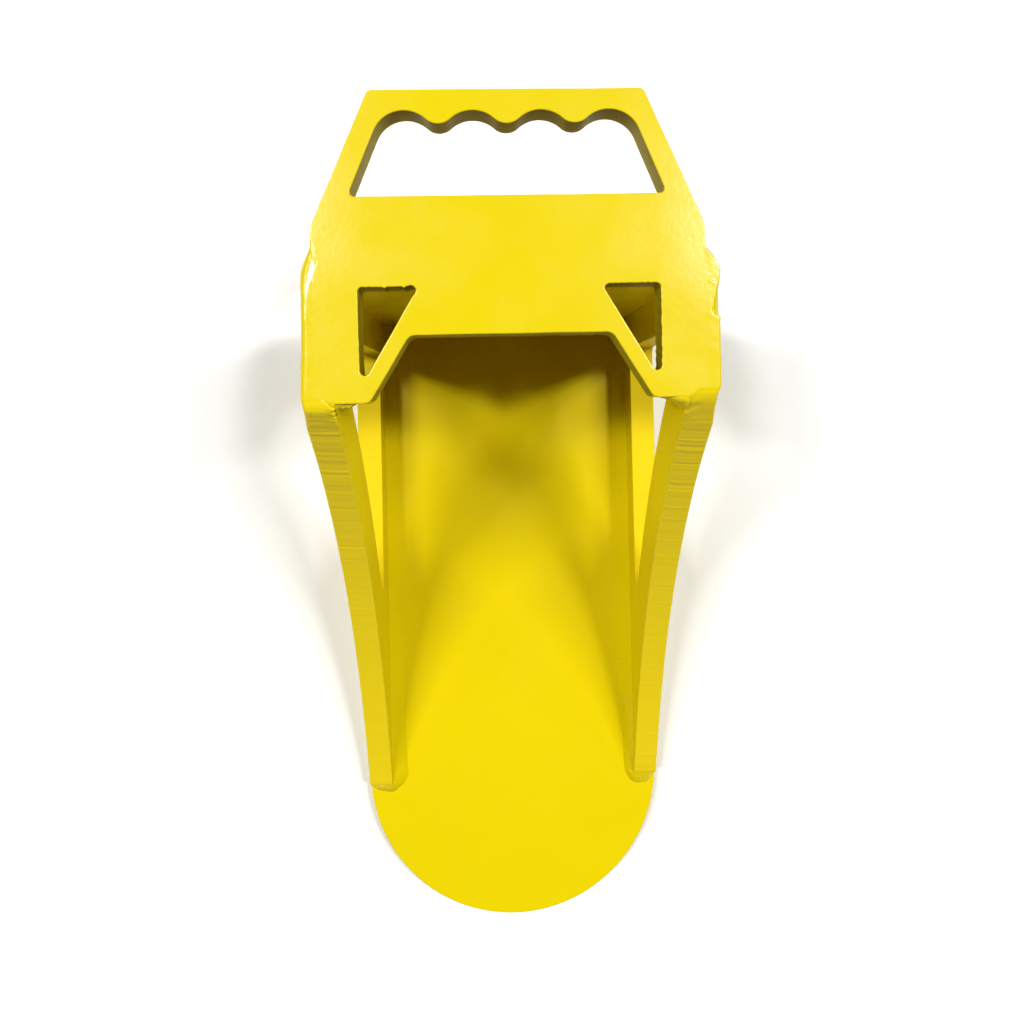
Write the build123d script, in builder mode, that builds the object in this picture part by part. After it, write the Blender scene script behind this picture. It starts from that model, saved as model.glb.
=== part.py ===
from build123d import *
import math
import os

os.makedirs("parts", exist_ok=True)

# ---------------------------------------------------------------- dimensions (mm)
# X to the right, +Y to the rear (handle), +Z up. The floor is Z = 0 and the
# origin is under the middle of the bounding box.
plate_t = 10.0              # toe, side and back plates
top_t = 12.0                # top plate, one stock size heavier
frame_w = 127.0             # over the side plates, and the toe plate's width
frame_h = 162.0             # floor to the top plate's upper face

toe_tip_y = -161.2          # foremost point of the half-round toe
frame_rear_y = 112.8        # rear faces of side, back and toe plates
handle_end_y = 161.2        # rear edge of the handle

# side plates: concave front edge and a concentric window edge behind it
front_arc_y = -236.8
front_arc_z = 335.06
front_arc_r = 348.66
window_arc_r = 371.2
nose_y = -101.2             # blunt front end of a side plate
sill_z = 33.0               # top of the bottom rail, seen through the window
window_rear_y = 89.3
window_top_z = 130.0
window_fillet = 5.0

# top plate
top_half_w = 59.8           # narrower than the frame, so that the edges can be welded
shoulder_y = 119.5          # where the sides start to taper to the handle
handle_half_w = 41.8
tab_front_y = 66.8
tab_half_w = 42.8           # notch half-width at the front edge
notch_y = 86.95
notch_half_w = 30.5
tri_top_y = 101.6           # triangular windows
tri_outer_x = 45.6
tri_tip_x = 45.3
tri_inner_x = 27.9
tri_tip_y = 71.8            # sharp tip before rounding
slot_bottom_y = 129.0       # hand slot
slot_half_w = 48.2
finger_pitch = 20.72
finger_peak_y = 154.7
finger_cusp_y = 150.65
finger_r = 9.8

# welds
toe_leg = 5.8
toe_end_leg = 3.2
inner_leg = 2.9
rear_leg = 5.0
seam_w = 7.0
seam_h = 1.2

half_w = frame_w / 2
inner_x = half_w - plate_t
base_z = plate_t
top_z = frame_h - top_t     # underside of the top plate


def on_arc(r, z):
    """Y of the concave arc of radius r at height z."""
    return front_arc_y + math.sqrt(r * r - (z - front_arc_z) ** 2)


def arc_height(r, y):
    """Z of the concave arc of radius r at y."""
    return front_arc_z - math.sqrt(r * r - (y - front_arc_y) ** 2)


def arc_mid(r, z0, z1):
    """Point of the arc half way, by angle, between two heights."""
    a0 = math.atan2(z0 - front_arc_z, on_arc(r, z0) - front_arc_y)
    a1 = math.atan2(z1 - front_arc_z, on_arc(r, z1) - front_arc_y)
    a = (a0 + a1) / 2
    return (front_arc_y + r * math.cos(a), front_arc_z + r * math.sin(a))


nose_z = arc_height(front_arc_r, nose_y)
arm_top_y = on_arc(front_arc_r, top_z)

# ---------------------------------------------------------------- toe plate
toe_centre_y = toe_tip_y + half_w
with BuildPart() as toe_plate:
    with BuildSketch(Plane.XY):
        with BuildLine():
            Line((-half_w, toe_centre_y), (-half_w, frame_rear_y))
            Line((-half_w, frame_rear_y), (half_w, frame_rear_y))
            Line((half_w, frame_rear_y), (half_w, toe_centre_y))
            ThreePointArc((half_w, toe_centre_y), (0, toe_tip_y), (-half_w, toe_centre_y))
        make_face()
    extrude(amount=plate_t)
toe_plate.part.label = "toe_plate"
export_step(toe_plate.part, "parts/toe_plate.step")

# ---------------------------------------------------------------- side plates
with BuildPart() as left_side_plate:
    with BuildSketch(Plane.YZ.offset(-half_w)):
        with BuildLine():
            Line((nose_y, base_z), (frame_rear_y, base_z))
            Line((frame_rear_y, base_z), (frame_rear_y, top_z))
            Line((frame_rear_y, top_z), (arm_top_y, top_z))
            ThreePointArc((arm_top_y, top_z), arc_mid(front_arc_r, top_z, nose_z), (nose_y, nose_z))
            Line((nose_y, nose_z), (nose_y, base_z))
        make_face()
        with BuildLine():
            Line((on_arc(window_arc_r, sill_z), sill_z), (window_rear_y, sill_z))
            Line((window_rear_y, sill_z), (window_rear_y, window_top_z))
            Line((window_rear_y, window_top_z), (on_arc(window_arc_r, window_top_z), window_top_z))
            ThreePointArc(
                (on_arc(window_arc_r, window_top_z), window_top_z),
                arc_mid(window_arc_r, window_top_z, sill_z),
                (on_arc(window_arc_r, sill_z), sill_z),
            )
        make_face(mode=Mode.SUBTRACT)
    extrude(amount=plate_t)
    window_corners = [
        e
        for e in left_side_plate.edges().filter_by(Axis.X)
        if sill_z - 0.1 < e.center().Z < window_top_z + 0.1
        and on_arc(window_arc_r, sill_z) - 0.1 < e.center().Y < window_rear_y + 0.1
    ]
    fillet(window_corners, radius=window_fillet)
left_side_plate.part.label = "left_side_plate"
export_step(left_side_plate.part, "parts/left_side_plate.step")

with BuildPart() as right_side_plate:
    mirror(left_side_plate.part, about=Plane.YZ)
right_side_plate.part.label = "right_side_plate"
export_step(right_side_plate.part, "parts/right_side_plate.step")

# ---------------------------------------------------------------- back plate
with BuildPart() as back_plate:
    with BuildSketch(Plane.XZ.offset(-frame_rear_y)):
        with BuildLine():
            Polyline(
                (-inner_x, base_z), (inner_x, base_z), (inner_x, top_z), (-inner_x, top_z), close=True
            )
        make_face()
    extrude(amount=plate_t)
back_plate.part.label = "back_plate"
export_step(back_plate.part, "parts/back_plate.step")

# ---------------------------------------------------------------- top plate
# The hand slot's far edge is a row of four finger hollows, arcs of radius
# finger_r, joined by tangent bumps. The outer hollows run on into the slanted sides.
depth = finger_peak_y - finger_cusp_y
half_pitch = finger_pitch / 2
bump_r = (half_pitch ** 2 + depth ** 2) / (2 * depth) - finger_r
hollow_y = finger_peak_y - finger_r
bump_y = finger_cusp_y + bump_r
join_deg = math.degrees(math.atan2(bump_y - hollow_y, half_pitch))
outer_x = 1.5 * finger_pitch
to_corner = (slot_half_w - outer_x, slot_bottom_y - hollow_y)
side_deg = math.degrees(
    math.atan2(to_corner[1], to_corner[0]) + math.acos(finger_r / math.hypot(*to_corner))
)


def polar(x, y, r, deg):
    return (x + r * math.cos(math.radians(deg)), y + r * math.sin(math.radians(deg)))


with BuildPart() as top_plate:
    with BuildSketch(Plane.XY.offset(top_z)):
        with BuildLine():
            Polyline(
                (-handle_half_w, handle_end_y),
                (handle_half_w, handle_end_y),
                (top_half_w, shoulder_y),
                (top_half_w, tab_front_y),
                (tab_half_w, tab_front_y),
                (notch_half_w, notch_y),
                (-notch_half_w, notch_y),
                (-tab_half_w, tab_front_y),
                (-top_half_w, tab_front_y),
                (-top_half_w, shoulder_y),
                close=True,
            )
        make_face()
        for side in (-1, 1):
            with BuildLine():
                Polyline(
                    (side * tri_outer_x, tri_top_y),
                    (side * tri_inner_x, tri_top_y),
                    (side * tri_tip_x, tri_tip_y),
                    close=True,
                )
            make_face(mode=Mode.SUBTRACT)
    extrude(amount=top_t)
    uprights = top_plate.edges().filter_by(Axis.Z)
    fillet([e for e in uprights if abs(e.center().Y - handle_end_y) < 0.1], radius=2.0)
    fillet([e for e in uprights if abs(e.center().Y - shoulder_y) < 0.1], radius=15.0)
    fillet([e for e in uprights if abs(e.center().Y - notch_y) < 0.1], radius=3.0)
    fillet(
        [e for e in uprights if abs(e.center().Y - tab_front_y) < 0.1 and abs(abs(e.center().X) - tab_half_w) < 0.1],
        radius=3.0,
    )
    fillet([e for e in uprights if abs(e.center().Y - tri_top_y) < 0.1], radius=1.2)
    fillet([e for e in uprights if abs(e.center().Y - tri_tip_y) < 0.1], radius=1.3)
    with BuildSketch(Plane.XY.offset(top_z)):
        with BuildLine():
            Line((-slot_half_w, slot_bottom_y), (slot_half_w, slot_bottom_y))
            Line((slot_half_w, slot_bottom_y), polar(outer_x, hollow_y, finger_r, side_deg))
            CenterArc((outer_x, hollow_y), finger_r, side_deg, 180 - join_deg - side_deg)
            CenterArc((finger_pitch, bump_y), bump_r, -join_deg, -(180 - 2 * join_deg))
            CenterArc((half_pitch, hollow_y), finger_r, join_deg, 180 - 2 * join_deg)
            CenterArc((0, bump_y), bump_r, -join_deg, -(180 - 2 * join_deg))
            CenterArc((-half_pitch, hollow_y), finger_r, join_deg, 180 - 2 * join_deg)
            CenterArc((-finger_pitch, bump_y), bump_r, -join_deg, -(180 - 2 * join_deg))
            CenterArc((-outer_x, hollow_y), finger_r, join_deg, 180 - join_deg - side_deg)
            Line(polar(-outer_x, hollow_y, finger_r, 180 - side_deg), (-slot_half_w, slot_bottom_y))
        make_face()
    extrude(amount=top_t, mode=Mode.SUBTRACT)
    fillet(
        [
            e
            for e in top_plate.edges().filter_by(Axis.Z)
            if abs(e.center().Y - slot_bottom_y) < 0.1 and abs(e.center().X) > 40
        ],
        radius=1.3,
    )
top_plate.part.label = "top_plate"
export_step(top_plate.part, "parts/top_plate.step")

# ---------------------------------------------------------------- toe fillet welds
# Inside corner of side plate and toe plate, the full length of the pocket. The
# bead narrows where the arm's nose gets lower and turns round the nose's corner.
taper_y = nose_y + 6.0


def fillet_section(leg_w, leg_h, bulge):
    """Closed outline of a fillet bead in its own corner: along x, then up y."""
    mid = (leg_w / 2 + bulge, leg_h / 2 + bulge)
    return [(0, 0), (leg_w, 0), mid, (0, leg_h)]


with BuildPart() as toe_fillet_weld_left:
    # full bead
    with BuildSketch(Plane(origin=(-inner_x, taper_y, base_z), x_dir=(1, 0, 0), z_dir=(0, -1, 0))):
        p = fillet_section(toe_leg, toe_leg, 0.5)
        with BuildLine():
            Polyline(p[3], p[0], p[1])
            ThreePointArc(p[1], p[2], p[3])
        make_face()
    extrude(amount=-(frame_rear_y - plate_t - taper_y))
    # taper to the nose
    with BuildSketch(Plane(origin=(-inner_x, taper_y, base_z), x_dir=(1, 0, 0), z_dir=(0, -1, 0))):
        with BuildLine():
            Polyline(p[3], p[0], p[1])
            ThreePointArc(p[1], p[2], p[3])
        make_face()
    with BuildSketch(Plane(origin=(-inner_x, nose_y, base_z), x_dir=(1, 0, 0), z_dir=(0, -1, 0))):
        q = fillet_section(toe_end_leg, toe_end_leg, 0.3)
        with BuildLine():
            Polyline(q[3], q[0], q[1])
            ThreePointArc(q[1], q[2], q[3])
        make_face()
    loft()
    # quarter turn round the corner of the nose
    with BuildSketch(Plane(origin=(-inner_x, nose_y, base_z), x_dir=(1, 0, 0), z_dir=(0, -1, 0))):
        with BuildLine():
            Polyline(q[3], q[0], q[1])
            ThreePointArc(q[1], q[2], q[3])
        make_face()
    revolve(axis=Axis((-inner_x, nose_y, base_z), (0, 0, 1)), revolution_arc=-90)
toe_fillet_weld_left.part.label = "toe_fillet_weld_left"
export_step(toe_fillet_weld_left.part, "parts/toe_fillet_weld_left.step")

with BuildPart() as toe_fillet_weld_right:
    mirror(toe_fillet_weld_left.part, about=Plane.YZ)
toe_fillet_weld_right.part.label = "toe_fillet_weld_right"
export_step(toe_fillet_weld_right.part, "parts/toe_fillet_weld_right.step")

# End beads across the blunt noses of the side plates.
with BuildPart() as toe_end_weld_left:
    with BuildSketch(Plane(origin=(-inner_x, nose_y, base_z), x_dir=(0, -1, 0), z_dir=(-1, 0, 0))):
        with BuildLine():
            Polyline(q[3], q[0], q[1])
            ThreePointArc(q[1], q[2], q[3])
        make_face()
    extrude(amount=plate_t - 1.0)
toe_end_weld_left.part.label = "toe_end_weld_left"
export_step(toe_end_weld_left.part, "parts/toe_end_weld_left.step")

with BuildPart() as toe_end_weld_right:
    mirror(toe_end_weld_left.part, about=Plane.YZ)
toe_end_weld_right.part.label = "toe_end_weld_right"
export_step(toe_end_weld_right.part, "parts/toe_end_weld_right.step")

# ---------------------------------------------------------------- top plate welds
# Edge welds on the ledge outside the top plate, dressed nearly flush. The rear
# end fades out toward the top plate's side.
ledge_x = half_w - 0.1
fade_y = frame_rear_y - 7.0
with BuildPart() as top_side_weld_left:
    with BuildSketch(Plane.XY.offset(top_z)):
        with BuildLine():
            Polyline(
                (-top_half_w, tab_front_y),
                (-top_half_w, frame_rear_y - 1.0),
                (-top_half_w - 0.8, frame_rear_y - 1.0),
                (-ledge_x, fade_y),
                (-ledge_x, tab_front_y),
                close=True,
            )
        make_face()
    extrude(amount=top_t - 0.2)
    fillet(
        [
            e
            for e in top_side_weld_left.edges().group_by(Axis.Z)[-1]
            if e.center().X < -top_half_w - 1.5 and e.center().Y > tab_front_y + 0.1
        ],
        radius=2.2,
    )
top_side_weld_left.part.label = "top_side_weld_left"
export_step(top_side_weld_left.part, "parts/top_side_weld_left.step")

with BuildPart() as top_side_weld_right:
    mirror(top_side_weld_left.part, about=Plane.YZ)
top_side_weld_right.part.label = "top_side_weld_right"
export_step(top_side_weld_right.part, "parts/top_side_weld_right.step")

# Front corner welds: they carry the arm's curve up to the top plate's upper face.
with BuildPart() as top_front_weld_left:
    with BuildSketch(Plane.YZ.offset(-half_w + 0.1)):
        with BuildLine():
            Line((arm_top_y, top_z), (tab_front_y, top_z))
            Line((tab_front_y, top_z), (tab_front_y, frame_h - 0.4))
            ThreePointArc(
                (tab_front_y, frame_h - 0.4),
                ((tab_front_y + arm_top_y) / 2 - 1.1, (frame_h + top_z) / 2 + 1.2),
                (arm_top_y, top_z),
            )
        make_face()
    extrude(amount=plate_t - 0.3)
top_front_weld_left.part.label = "top_front_weld_left"
export_step(top_front_weld_left.part, "parts/top_front_weld_left.step")

with BuildPart() as top_front_weld_right:
    mirror(top_front_weld_left.part, about=Plane.YZ)
top_front_weld_right.part.label = "top_front_weld_right"
export_step(top_front_weld_right.part, "parts/top_front_weld_right.step")

# Short fillet welds inside the pocket, under the front of the top plate.
with BuildPart() as top_inner_weld_left:
    with BuildSketch(Plane.XZ.offset(-(tab_front_y + 1.0))):
        with BuildLine():
            Polyline((-inner_x + inner_leg, top_z), (-inner_x, top_z), (-inner_x, top_z - inner_leg))
            ThreePointArc(
                (-inner_x, top_z - inner_leg),
                (-inner_x + inner_leg / 2 + 0.4, top_z - inner_leg / 2 - 0.4),
                (-inner_x + inner_leg, top_z),
            )
        make_face()
    extrude(amount=-22.0)
top_inner_weld_left.part.label = "top_inner_weld_left"
export_step(top_inner_weld_left.part, "parts/top_inner_weld_left.step")

with BuildPart() as top_inner_weld_right:
    mirror(top_inner_weld_left.part, about=Plane.YZ)
top_inner_weld_right.part.label = "top_inner_weld_right"
export_step(top_inner_weld_right.part, "parts/top_inner_weld_right.step")

# ---------------------------------------------------------------- rear welds
# Low beads over the flush rear seams, and a fillet under the overhanging top plate.
with BuildPart() as rear_seam_weld_left:
    with BuildSketch(Plane.XY.offset(base_z + seam_w / 2 + 0.5)):
        with BuildLine():
            Line((-inner_x - seam_w / 2, frame_rear_y), (-inner_x + seam_w / 2, frame_rear_y))
            ThreePointArc(
                (-inner_x + seam_w / 2, frame_rear_y),
                (-inner_x, frame_rear_y + seam_h),
                (-inner_x - seam_w / 2, frame_rear_y),
            )
        make_face()
    extrude(amount=(top_z - rear_leg - 0.5) - (base_z + seam_w / 2 + 0.5))
rear_seam_weld_left.part.label = "rear_seam_weld_left"
export_step(rear_seam_weld_left.part, "parts/rear_seam_weld_left.step")

with BuildPart() as rear_seam_weld_right:
    mirror(rear_seam_weld_left.part, about=Plane.YZ)
rear_seam_weld_right.part.label = "rear_seam_weld_right"
export_step(rear_seam_weld_right.part, "parts/rear_seam_weld_right.step")

with BuildPart() as rear_toe_weld:
    with BuildSketch(Plane.YZ.offset(-half_w + 1.5)):
        with BuildLine():
            Line((frame_rear_y, base_z - seam_w / 2), (frame_rear_y, base_z + seam_w / 2))
            ThreePointArc(
                (frame_rear_y, base_z + seam_w / 2),
                (frame_rear_y + seam_h, base_z),
                (frame_rear_y, base_z - seam_w / 2),
            )
        make_face()
    extrude(amount=frame_w - 3.0)
rear_toe_weld.part.label = "rear_toe_weld"
export_step(rear_toe_weld.part, "parts/rear_toe_weld.step")

with BuildPart() as rear_top_weld:
    with BuildSketch(Plane.YZ.offset(-top_half_w + 1.0)):
        with BuildLine():
            Polyline(
                (frame_rear_y + rear_leg, top_z), (frame_rear_y, top_z), (frame_rear_y, top_z - rear_leg)
            )
            ThreePointArc(
                (frame_rear_y, top_z - rear_leg),
                (frame_rear_y + rear_leg / 2 + 0.4, top_z - rear_leg / 2 - 0.4),
                (frame_rear_y + rear_leg, top_z),
            )
        make_face()
    extrude(amount=2 * top_half_w - 2.0)
rear_top_weld.part.label = "rear_top_weld"
export_step(rear_top_weld.part, "parts/rear_top_weld.step")
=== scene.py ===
import math

import bpy
import numpy as np
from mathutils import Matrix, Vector
from mathutils.geometry import delaunay_2d_cdt


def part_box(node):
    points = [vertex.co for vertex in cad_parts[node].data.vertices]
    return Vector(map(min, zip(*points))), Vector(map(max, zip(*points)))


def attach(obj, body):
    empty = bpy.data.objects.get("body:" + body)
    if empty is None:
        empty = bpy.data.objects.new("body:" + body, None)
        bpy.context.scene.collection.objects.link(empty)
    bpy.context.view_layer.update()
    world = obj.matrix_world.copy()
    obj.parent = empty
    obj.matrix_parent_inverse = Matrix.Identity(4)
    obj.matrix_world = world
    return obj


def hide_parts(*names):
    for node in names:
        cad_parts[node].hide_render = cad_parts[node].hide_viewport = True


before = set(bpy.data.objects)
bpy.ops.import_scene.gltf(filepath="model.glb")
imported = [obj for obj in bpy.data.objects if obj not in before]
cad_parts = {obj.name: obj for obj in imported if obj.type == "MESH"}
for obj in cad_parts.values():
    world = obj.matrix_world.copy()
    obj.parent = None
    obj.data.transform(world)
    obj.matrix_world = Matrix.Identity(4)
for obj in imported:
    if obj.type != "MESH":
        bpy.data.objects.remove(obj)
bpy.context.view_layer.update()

MM = 0.001


def mm_box(node):
    """A node's lowest and highest corners, in millimetres."""
    a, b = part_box(node)
    return np.array(a) / MM, np.array(b) / MM


toe_lo, toe_hi = mm_box("toe_plate")
top_lo, top_hi = mm_box("top_plate")
side_lo, side_hi = mm_box("right_side_plate")
back_lo, back_hi = mm_box("back_plate")
floor_z = toe_lo[2]
toe_z = toe_hi[2]             # upper face of the toe plate
arm_z = side_hi[2]            # upper edge of the side plates
top_z = top_hi[2]             # upper face of the top plate
inner_x = side_lo[0]          # inner face of the right side plate
outer_x = side_hi[0]
nose_y = side_lo[1]
rear_y = side_hi[1]
tab_y = top_lo[1]
edge_x = top_hi[0]            # side edge of the top plate

# ------------------------------------------------------------------ camera
cam_data = bpy.data.cameras.new("camera")
cam_data.sensor_width = 36.0
cam_data.lens = 1004.2 / 1024.0 * 36.0
cam_data.shift_x = -25.9 / 1024.0
cam_data.shift_y = -126.5 / 1024.0
cam_data.clip_start = 0.01
cam_data.clip_end = 20.0
cam = bpy.data.objects.new("camera", cam_data)
bpy.context.scene.collection.objects.link(cam)
cam.location = Vector((-6.37, toe_hi[1] - 48.0, toe_z + 453.8)) * MM
cam.rotation_euler = (0.022, -0.046, -0.0226)
bpy.context.scene.camera = cam


# ------------------------------------------------------------------ small maths
def rough(x, cell, seed):
    """Smooth random curve, one random value per cell, between -1 and 1."""
    r = np.random.RandomState(seed).uniform(-1, 1, 1024)
    u = np.asarray(x, float) / cell + 500.0
    i = np.floor(u).astype(int)
    f = u - i
    f = f * f * (3 - 2 * f)
    return r[i % 1024] * (1 - f) + r[(i + 1) % 1024] * f


def rough2(x, y, cell, seed):
    """Smooth random surface, between -1 and 1."""
    r = np.random.RandomState(seed).uniform(-1, 1, (256, 256))
    u = np.asarray(x, float) / cell + 500.0
    v = np.asarray(y, float) / cell + 500.0
    i, j = np.floor(u).astype(int), np.floor(v).astype(int)
    f, g = u - i, v - j
    f, g = f * f * (3 - 2 * f), g * g * (3 - 2 * g)
    i, j = i % 256, j % 256
    i1, j1 = (i + 1) % 256, (j + 1) % 256
    return (r[i, j] * (1 - f) + r[i1, j] * f) * (1 - g) + (r[i, j1] * (1 - f) + r[i1, j1] * f) * g


def step(x, a, b):
    """0 below a, 1 above b, smooth between."""
    t = np.clip((np.asarray(x, float) - a) / (b - a), 0, 1)
    return t * t * (3 - 2 * t)


def bell(x, centre, width):
    return np.exp(-(((np.asarray(x, float) - centre) / width) ** 2))


# ------------------------------------------------------------------ outlines read from the CAD nodes
PLANES = {0: (1, 2), 1: (2, 0), 2: (0, 1)}


def outlines(node, axis):
    """Closed outlines of the node's flat face on the high side of an axis, material on the left."""
    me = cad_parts[node].data
    co = np.array([v.co[:] for v in me.vertices]) / MM
    seen, same, pts = {}, np.zeros(len(co), int), []
    for i, c in enumerate(co):
        k = tuple(np.round(c, 4))
        if k not in seen:
            seen[k] = len(pts)
            pts.append(c)
        same[i] = seen[k]
    pts = np.array(pts)
    high = pts[:, axis].max()
    edges = set()
    for p in me.polygons:
        vs = [int(same[v]) for v in p.vertices]
        if all(abs(pts[v, axis] - high) < 1e-3 for v in vs):
            for a, b in zip(vs, vs[1:] + vs[:1]):
                if (b, a) in edges:
                    edges.discard((b, a))
                else:
                    edges.add((a, b))
    after = dict(sorted(edges))
    loops = []
    while after:
        first = min(after)
        loop, c = [first], after.pop(first)
        while c != first:
            loop.append(c)
            c = after.pop(c)
        loops.append(pts[loop][:, list(PLANES[axis])])
    loops.sort(key=lambda l: -np.ptp(l[:, 0]) * np.ptp(l[:, 1]))
    return loops, pts[:, axis].min(), high


def resample(p, pitch, soften):
    """Even points on a closed outline whose short chords stand for arcs, sharp corners softened."""
    n = len(p)
    e = np.roll(p, -1, 0) - p
    length = np.hypot(e[:, 0], e[:, 1])
    ang = np.arctan2(e[:, 1], e[:, 0])
    turn = (ang - np.roll(ang, 1) + np.pi) % (2 * np.pi) - np.pi
    sharp = np.abs(turn) > math.radians(20)
    alike = np.maximum(length, np.roll(length, 1)) < 2.2 * np.minimum(length, np.roll(length, 1))
    dense, at, total = [], [], 0.0
    corners = []
    for i in range(n):
        j = (i + 1) % n
        half = [turn[k] / 2 for k in (i, j) if not sharp[k] and alike[k]]
        h = float(np.mean(half)) if half else 0.0
        t = np.arange(0, 1, min(1.0, 0.08 / length[i]))
        if abs(h) > 1e-4:
            along = 0.5 * (1 + np.sin((2 * t - 1) * h) / math.sin(h))
            sag = 0.5 * length[i] * (np.cos((2 * t - 1) * h) - math.cos(h)) / math.sin(h)
        else:
            along, sag = t, np.zeros_like(t)
        right = np.array([e[i, 1], -e[i, 0]]) / length[i]
        dense.append(p[i] + along[:, None] * e[i] + sag[:, None] * right)
        if sharp[i]:
            corners.append(sum(len(d) for d in dense[:-1]))
    d = np.vstack(dense)
    gap = np.hypot(*(np.roll(d, -1, 0) - d).T)
    s = np.concatenate([[0], np.cumsum(gap)])
    total = s[-1]
    m = max(8, int(round(total / pitch)))
    want = np.arange(m) * total / m
    loop = np.vstack([d, d[:1]])
    q = np.stack([np.interp(want, s, loop[:, k]) for k in (0, 1)], 1)
    if corners and soften > 0:
        far = np.full(m, 1e9)
        for c in corners:
            g = np.abs(want - s[c])
            far = np.minimum(far, np.minimum(g, total - g))
        sig = soften / (total / m)
        reach = int(4 * sig) + 1
        k = np.exp(-0.5 * (np.arange(-reach, reach + 1) / sig) ** 2)
        k /= k.sum()
        smooth = sum(w * np.roll(q, o, 0) for w, o in zip(k, range(-reach, reach + 1)))
        mix = 1 - step(far, 2.5 * soften, 4 * soften)
        q = q + (smooth - q) * mix[:, None]
    return q, want, total


def outward(q):
    t = np.roll(q, -1, 0) - np.roll(q, 1, 0)
    t /= np.maximum(np.hypot(t[:, 0], t[:, 1]), 1e-9)[:, None]
    return np.stack([t[:, 1], -t[:, 0]], 1)


def solid_triangles(tris, walls):
    """The triangles with an odd number of outline edges between them and the outside."""
    beside = {}
    for i, t in enumerate(tris):
        for a, b in zip(t, t[1:] + t[:1]):
            beside.setdefault(frozenset((a, b)), []).append(i)
    depth = {}
    todo = []
    for e, ts in beside.items():
        if len(ts) == 1 and ts[0] not in depth:
            depth[ts[0]] = 1 if e in walls else 0
            todo.append(ts[0])
    while todo:
        i = todo.pop()
        t = tris[i]
        for a, b in zip(t, t[1:] + t[:1]):
            e = frozenset((a, b))
            for j in beside[e]:
                if j not in depth:
                    depth[j] = depth[i] ^ (1 if e in walls else 0)
                    todo.append(j)
    return np.array([t for i, t in enumerate(tris) if depth[i]])


# ------------------------------------------------------------------ mesh makers
def make(name, verts, faces, normals, material, second=None, uses=None, caps=0, third=None):
    me = bpy.data.meshes.new(name)
    me.from_pydata((np.asarray(verts) * MM).tolist(), [], faces)
    me.update()
    me.polygons.foreach_set("use_smooth", [True] * len(me.polygons))
    if normals is not None:
        nn = np.asarray(normals, float)
        nn /= np.maximum(np.linalg.norm(nn, axis=1), 1e-12)[:, None]
        vert = np.zeros(len(me.loops), np.int32)
        me.loops.foreach_get("vertex_index", vert)
        corner = nn[vert]
        if caps:
            # the last faces are end caps: flat
            sides = np.zeros(len(me.polygons), np.int32)
            own = np.zeros(len(me.polygons) * 3, np.float32)
            me.polygons.foreach_get("loop_total", sides)
            me.polygons.foreach_get("normal", own)
            face = np.repeat(np.arange(len(sides)), sides)
            last = face >= len(sides) - caps
            corner[last] = own.reshape(-1, 3)[face[last]]
        me.normals_split_custom_set(corner.tolist())
    me.materials.append(material)
    if second is not None:
        me.materials.append(second)
        if third is not None:
            me.materials.append(third)
        me.polygons.foreach_set("material_index", np.asarray(uses, np.int32))
    o = bpy.data.objects.new(name, me)
    bpy.context.scene.collection.objects.link(o)
    return o


def stand_in(o, node):
    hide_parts(node)
    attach(o, "root")
    return o


def to_world(uv, w, axis):
    out = np.zeros(uv.shape[:-1] + (3,))
    a, b = PLANES[axis]
    out[..., a] = uv[..., 0]
    out[..., b] = uv[..., 1]
    out[..., axis] = w
    return out


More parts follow.
